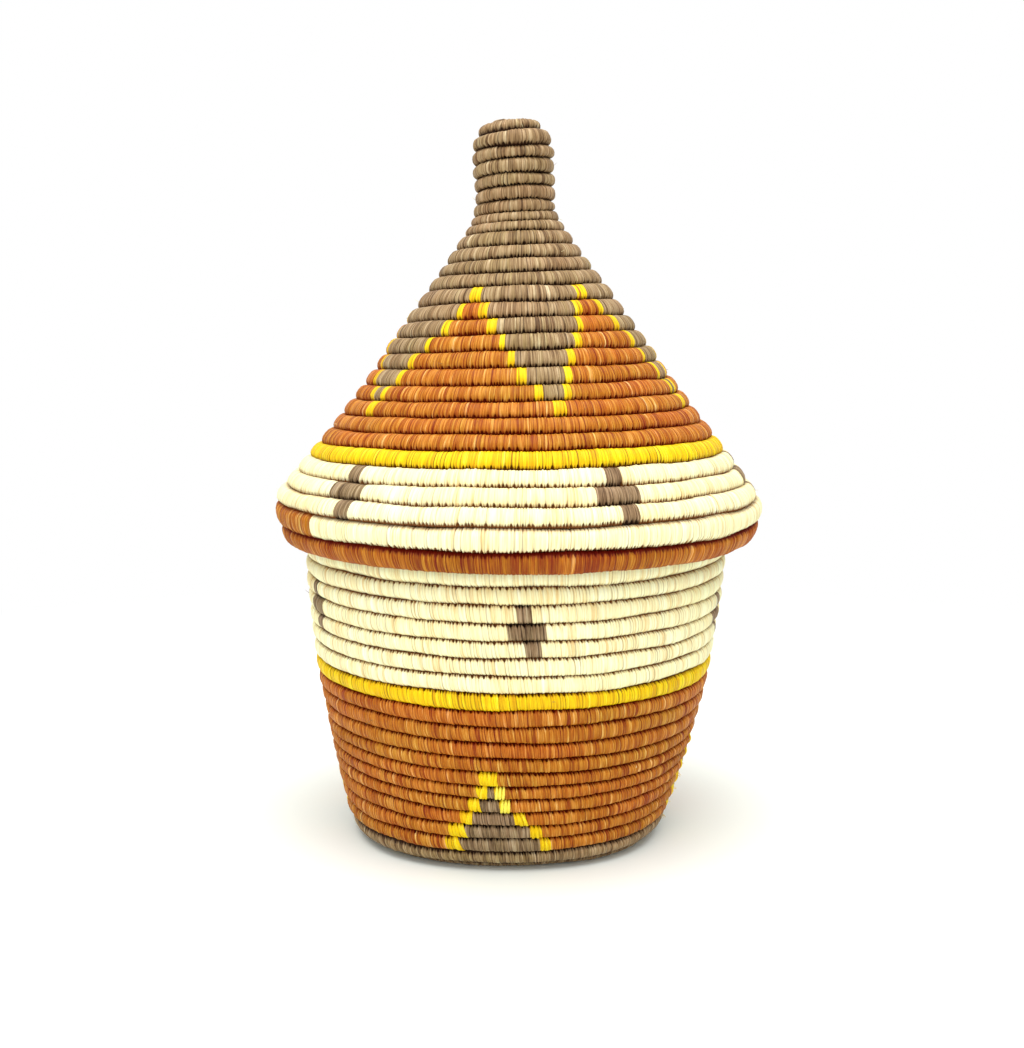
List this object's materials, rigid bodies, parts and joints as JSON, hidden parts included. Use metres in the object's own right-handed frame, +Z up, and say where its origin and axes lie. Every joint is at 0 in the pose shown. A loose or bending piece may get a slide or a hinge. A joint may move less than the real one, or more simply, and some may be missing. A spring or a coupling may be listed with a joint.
{
  "type": "lidded coiled basket",
  "caption": "Lidded basket of coiled and stitched raffia: round body on a flat base, and a conical lid with a knob that lifts off its rim.",
  "frame": {"origin": "middle of the underside, on the surface that the basket stands on", "axes": "+Z up through the middle of the base and the knob, -Y towards the pictured front"},
  "size_m": [0.2389, 0.2389, 0.3535],
  "materials": {
    "raffia_taupe": "taupe dyed raffia, close stitches, satin",
    "raffia_orange": "rust orange dyed raffia, close stitches, satin",
    "raffia_yellow": "bright yellow dyed raffia, close stitches, satin",
    "raffia_cream": "undyed cream raffia, close stitches, satin"
  },
  "bodies": {
    "basket": {"base_start": "raffia_taupe", "base_row_01": "raffia_taupe", "base_row_02": "raffia_taupe", "base_row_03": "raffia_taupe", "base_row_04": "raffia_taupe", "base_row_05": "raffia_taupe", "base_row_06": "raffia_taupe", "wall_row_01": "raffia_taupe", "wall_row_02": "raffia_orange", "wall_row_03": "raffia_orange", "wall_row_04": "raffia_orange", "wall_row_05": "raffia_orange", "wall_row_06": "raffia_orange", "wall_row_07": "raffia_orange", "wall_row_08": "raffia_orange", "wall_row_09": "raffia_orange", "wall_row_10": "raffia_orange", "wall_row_11": "raffia_orange", "wall_row_12": "raffia_yellow", "wall_row_13": "raffia_cream", "wall_row_14": "raffia_cream", "wall_row_15": "raffia_cream", "wall_row_16": "raffia_cream", "wall_row_17": "raffia_cream", "wall_row_18": "raffia_cream", "wall_row_19": "raffia_cream", "wall_row_20": "raffia_cream", "wall_row_21": "raffia_cream", "wall_row_22": "raffia_cream", "wall_row_23": "raffia_cream"},
    "lid": {"lid_start": "raffia_taupe", "lid_row_01": "raffia_taupe", "lid_row_02": "raffia_taupe", "lid_row_03": "raffia_taupe", "lid_row_04": "raffia_taupe", "lid_row_05": "raffia_taupe", "lid_row_06": "raffia_taupe", "lid_row_07": "raffia_taupe", "lid_row_08": "raffia_taupe", "lid_row_09": "raffia_taupe", "lid_row_10": "raffia_taupe", "lid_row_11": "raffia_taupe", "lid_row_12": "raffia_taupe", "lid_row_13": "raffia_taupe", "lid_row_14": "raffia_taupe", "lid_row_15": "raffia_taupe", "lid_row_16": "raffia_taupe", "lid_row_17": "raffia_taupe", "lid_row_18": "raffia_orange", "lid_row_19": "raffia_orange", "lid_row_20": "raffia_orange", "lid_row_21": "raffia_orange", "lid_row_22": "raffia_orange", "lid_row_23": "raffia_orange", "lid_row_24": "raffia_yellow", "lid_row_25": "raffia_cream", "lid_row_26": "raffia_cream", "lid_row_27": "raffia_cream", "lid_row_28": "raffia_cream", "lid_row_29": "raffia_orange"}
  },
  "joints": [
    {"name": "lid_lift", "type": "slide", "parent": "basket", "child": "lid", "axis": [0, 0, 1], "range_m": [0, 0.12]}
  ]
}
